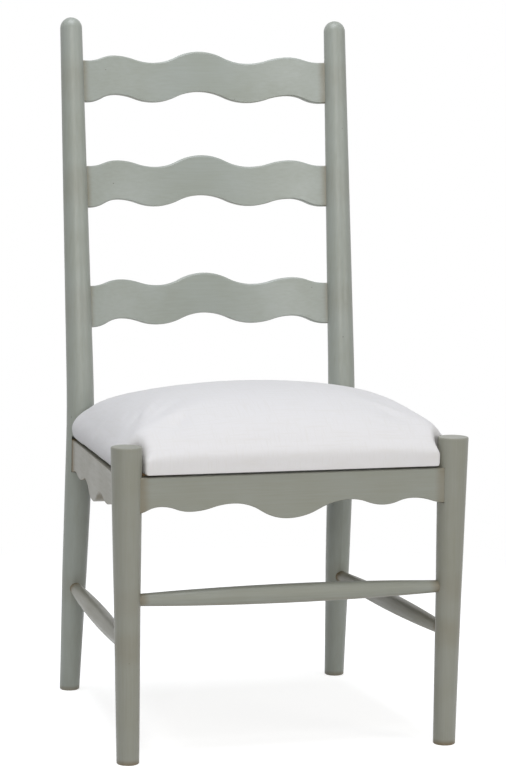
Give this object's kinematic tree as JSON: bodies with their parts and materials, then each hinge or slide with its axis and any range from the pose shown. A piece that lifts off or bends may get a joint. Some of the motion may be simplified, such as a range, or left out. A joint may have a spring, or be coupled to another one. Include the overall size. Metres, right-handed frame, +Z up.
{
  "type": "ladderback side chair",
  "caption": "Ladderback side chair with raked turned posts, bowed wavy slats, scalloped aprons, turned stretchers and a crowned upholstered seat",
  "frame": {"origin": "on the floor under the middle of the chair's box", "axes": "+Z up, the chair faces -Y, +X is to the right as seen from the front"},
  "size_m": [0.5292, 0.5606, 1.05],
  "materials": {
    "painted_wood": "satin grey-green paint with a thin brown glaze in the joints",
    "bare_hardwood": "planed, unfinished",
    "plywood": "raw plywood",
    "zinc_screws": "zinc plated",
    "seat_foam": "open-cell upholstery foam",
    "linen_cover": "matt off-white plain weave",
    "dust_cloth": "thin black non-woven cloth"
  },
  "bodies": {
    "root": {"rear_post_right": "painted_wood", "rear_post_left": "painted_wood", "front_leg_right": "painted_wood", "front_leg_left": "painted_wood", "top_slat": "painted_wood", "middle_slat": "painted_wood", "bottom_slat": "painted_wood", "front_apron": "painted_wood", "side_apron_right": "painted_wood", "side_apron_left": "painted_wood", "rear_apron": "painted_wood", "front_stretcher": "painted_wood", "side_stretcher_right": "painted_wood", "side_stretcher_left": "painted_wood", "front_corner_block_right": "bare_hardwood", "front_corner_block_left": "bare_hardwood", "rear_corner_block_right": "bare_hardwood", "rear_corner_block_left": "bare_hardwood", "seat_screws": "zinc_screws", "seat_board": "plywood", "seat_foam": "seat_foam", "seat_cover": "linen_cover", "dust_cover": "dust_cloth"}
  },
  "joints": []
}
